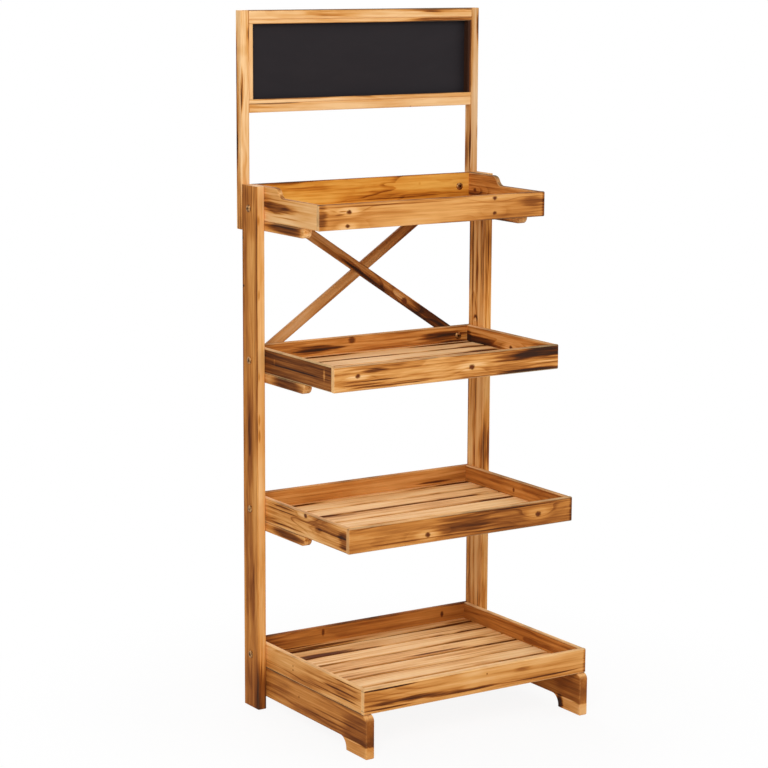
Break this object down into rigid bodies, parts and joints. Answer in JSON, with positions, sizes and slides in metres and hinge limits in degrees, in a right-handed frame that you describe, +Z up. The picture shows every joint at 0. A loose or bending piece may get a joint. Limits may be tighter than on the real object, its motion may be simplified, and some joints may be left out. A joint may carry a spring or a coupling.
{
  "type": "slatted tray display stand",
  "caption": "Free-standing wooden display stand: slatted trays that get deeper towards the floor, stepped between tall posts, with crossed braces behind and a framed chalkboard sign on top.",
  "frame": {"origin": "on the floor, under the middle of the stand's overall box", "axes": "+Z up, +X to the stand's right as seen from the front, front looking along -Y"},
  "size_m": [0.5424, 0.43, 1.325],
  "materials": {
    "torched_wood": "torched and brushed fir with dark grain, oiled",
    "planed_wood": "planed fir, lightly torched",
    "chalkboard": "matt black chalkboard paint on hardboard",
    "steel": "dull zinc"
  },
  "bodies": {
    "root": {"bottom_tray_back": "torched_wood", "bottom_tray_front": "torched_wood", "bottom_tray_left_cleat": "planed_wood", "bottom_tray_left_side": "torched_wood", "bottom_tray_right_cleat": "planed_wood", "bottom_tray_right_side": "torched_wood", "bottom_tray_slats": "planed_wood", "brace_bolts": "steel", "brace_nuts": "steel", "chalkboard_panel": "chalkboard", "falling_brace": "torched_wood", "frame_screws": "steel", "left_base_rail": "torched_wood", "left_post": "torched_wood", "left_sign_upright": "torched_wood", "lower_tray_back": "torched_wood", "lower_tray_front": "torched_wood", "lower_tray_left_arm": "torched_wood", "lower_tray_left_cleat": "planed_wood", "lower_tray_left_side": "torched_wood", "lower_tray_right_arm": "torched_wood", "lower_tray_right_cleat": "planed_wood", "lower_tray_right_side": "torched_wood", "lower_tray_slats": "planed_wood", "right_base_rail": "torched_wood", "right_post": "torched_wood", "right_sign_upright": "torched_wood", "rising_brace": "torched_wood", "sign_bottom_rail": "torched_wood", "sign_liner_bottom": "torched_wood", "sign_liner_left": "torched_wood", "sign_liner_right": "torched_wood", "sign_liner_top": "torched_wood", "sign_screws": "steel", "sign_top_rail": "torched_wood", "top_tray_back": "torched_wood", "top_tray_front": "torched_wood", "top_tray_left_arm": "torched_wood", "top_tray_left_cleat": "planed_wood", "top_tray_left_side": "torched_wood", "top_tray_right_arm": "torched_wood", "top_tray_right_cleat": "planed_wood", "top_tray_right_side": "torched_wood", "top_tray_slats": "planed_wood", "tray_bolts": "steel", "tray_nuts": "steel", "upper_tray_back": "torched_wood", "upper_tray_front": "torched_wood", "upper_tray_left_arm": "torched_wood", "upper_tray_left_cleat": "planed_wood", "upper_tray_left_side": "torched_wood", "upper_tray_right_arm": "torched_wood", "upper_tray_right_cleat": "planed_wood", "upper_tray_right_side": "torched_wood", "upper_tray_slats": "planed_wood"}
  },
  "joints": []
}
